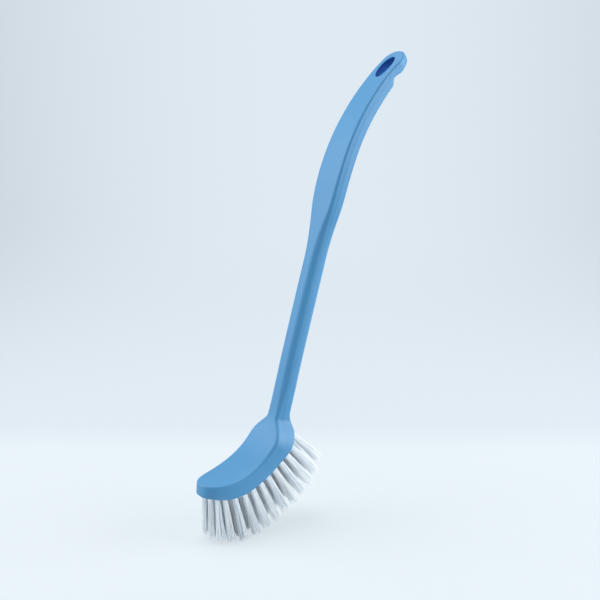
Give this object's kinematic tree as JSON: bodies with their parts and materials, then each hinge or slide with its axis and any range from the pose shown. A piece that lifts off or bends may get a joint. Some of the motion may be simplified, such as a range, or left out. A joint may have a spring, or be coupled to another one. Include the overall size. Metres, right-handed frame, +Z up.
{
  "type": "toilet brush",
  "caption": "Toilet brush with a long bent handle, a hanging hole, and a curved head whose outer face carries stapled tufts of stiff bristle.",
  "frame": {"origin": "middle of the hanging hole, halfway through the moulding, on the plane of symmetry", "axes": "+Z up along the brush as it is pictured, from its lowest bristle tips to the handle's end, +X from the head's nose towards the side that the handle leans to, +Y across the head"},
  "size_m": [0.1923, 0.0378, 0.3581],
  "materials": {
    "blue_moulding": "satin moulded polypropylene",
    "white_bristle": "drawn polymer bristle"
  },
  "bodies": {
    "root": {"brush_body": "blue_moulding", "tuft_column01_row1": "white_bristle", "tuft_column01_row2": "white_bristle", "tuft_column01_row3": "white_bristle", "tuft_column01_row4": "white_bristle", "tuft_column02_row1": "white_bristle", "tuft_column02_row2": "white_bristle", "tuft_column02_row3": "white_bristle", "tuft_column02_row4": "white_bristle", "tuft_column03_row1": "white_bristle", "tuft_column03_row2": "white_bristle", "tuft_column03_row3": "white_bristle", "tuft_column03_row4": "white_bristle", "tuft_column04_row1": "white_bristle", "tuft_column04_row2": "white_bristle", "tuft_column04_row3": "white_bristle", "tuft_column04_row4": "white_bristle", "tuft_column05_row1": "white_bristle", "tuft_column05_row2": "white_bristle", "tuft_column05_row3": "white_bristle", "tuft_column05_row4": "white_bristle", "tuft_column06_row1": "white_bristle", "tuft_column06_row2": "white_bristle", "tuft_column06_row3": "white_bristle", "tuft_column06_row4": "white_bristle", "tuft_column07_row1": "white_bristle", "tuft_column07_row2": "white_bristle", "tuft_column07_row3": "white_bristle", "tuft_column07_row4": "white_bristle", "tuft_column08_row1": "white_bristle", "tuft_column08_row2": "white_bristle", "tuft_column08_row3": "white_bristle", "tuft_column08_row4": "white_bristle", "tuft_column09_row1": "white_bristle", "tuft_column09_row2": "white_bristle", "tuft_column09_row3": "white_bristle", "tuft_column09_row4": "white_bristle", "tuft_column10_row1": "white_bristle", "tuft_column10_row2": "white_bristle", "tuft_column10_row3": "white_bristle", "tuft_column10_row4": "white_bristle", "tuft_nose_left": "white_bristle", "tuft_nose_right": "white_bristle", "tuft_corner_left": "white_bristle", "tuft_corner_right": "white_bristle", "tuft_heel_left": "white_bristle", "tuft_heel_right": "white_bristle"}
  },
  "joints": []
}
